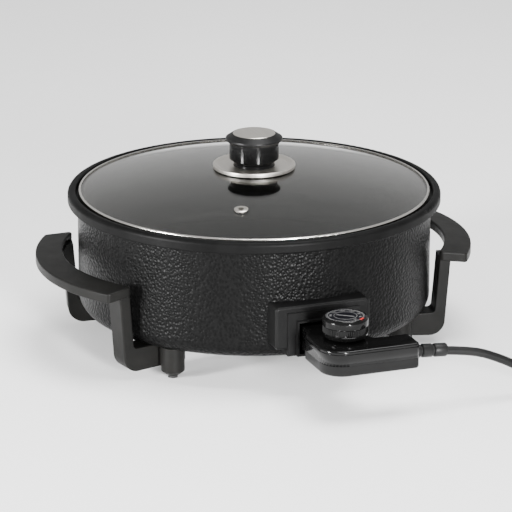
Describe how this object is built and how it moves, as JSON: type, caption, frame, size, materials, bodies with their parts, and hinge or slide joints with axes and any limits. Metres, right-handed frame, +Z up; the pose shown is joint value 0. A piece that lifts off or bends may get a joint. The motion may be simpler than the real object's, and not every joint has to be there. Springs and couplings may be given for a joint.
{
  "type": "electric skillet",
  "caption": "Round electric skillet with a lift-off glass lid and knob, side grips on legs, and a plug-in temperature control with dial and coiled mains cord.",
  "frame": {"origin": "middle of the skillet with its control plugged in, on the table; the pan's own axis stands 45 mm behind it", "axes": "+Z up, -Y to the front where the control plugs in, grips on -X and +X"},
  "size_m": [0.639, 0.5518, 0.2032],
  "materials": {
    "nonstick_black": "cast, with a satin non-stick coating",
    "hammered_black": "hammered gloss paint",
    "steel": "satin",
    "aluminium": "cast",
    "brass": "plain",
    "ceramic": "unglazed",
    "black_plastic": "matte",
    "grey_plastic": "matte",
    "knob_plastic": "satin",
    "gloss_plastic": "gloss",
    "rubber": "matte",
    "glass": "clear"
  },
  "bodies": {
    "base": {"pan_bowl": "nonstick_black", "pan_jacket": "hammered_black", "base_cover": "steel", "base_cover_screws": "steel", "heat_spreader": "aluminium", "heating_element": "steel", "element_clamps": "steel", "clamp_screws": "steel", "terminal_pins": "brass", "terminal_beads": "ceramic", "probe_well": "aluminium", "socket_housing": "black_plastic", "socket_insulator": "black_plastic", "socket_screws": "steel", "earth_spring": "brass", "feet": "rubber", "grip_screws": "steel", "leg_screws": "steel", "leg_nuts": "steel", "grip_left": "grey_plastic", "grip_right": "grey_plastic", "leg_front_right": "grey_plastic", "leg_rear_right": "grey_plastic", "leg_rear_left": "grey_plastic", "leg_front_left": "grey_plastic"},
    "lid": {"lid_band": "steel", "lid_glass": "glass", "vent_eyelet": "steel", "knob_plate": "steel", "knob_body": "knob_plastic", "knob_ring": "knob_plastic", "knob_cap": "steel", "knob_seal": "rubber", "knob_washer": "steel", "knob_screw": "steel"},
    "control": {"control_case_top": "black_plastic", "control_case_bottom": "black_plastic", "case_screws": "steel", "probe_rod": "steel", "probe_collar": "steel", "contact_block": "ceramic", "contact_sleeves": "brass", "switch_frame": "black_plastic", "bimetal_blade": "steel", "contact_leaf": "brass", "cord_clamp": "black_plastic", "strain_relief": "rubber", "mains_cord": "rubber", "cord_coil": "rubber", "cord_tail": "rubber", "plug_body": "black_plastic", "plug_pins": "brass", "inner_leads": "rubber"},
    "dial": {"dial_knob": "gloss_plastic", "dial_face": "gloss_plastic", "dial_spindle": "steel"}
  },
  "joints": [
    {"name": "lid_lift", "type": "slide", "parent": "base", "child": "lid", "axis": [0, 0, 1], "range_m": [0, 0.15]},
    {"name": "control_pull", "type": "slide", "parent": "base", "child": "control", "axis": [0, -1, 0], "range_m": [0, 0.085]},
    {"name": "dial_turn", "type": "hinge", "parent": "control", "child": "dial", "pos_m": [0.003, -0.187, 0.0712], "axis": [0, 0, 1], "range_deg": [-270, 0]}
  ]
}
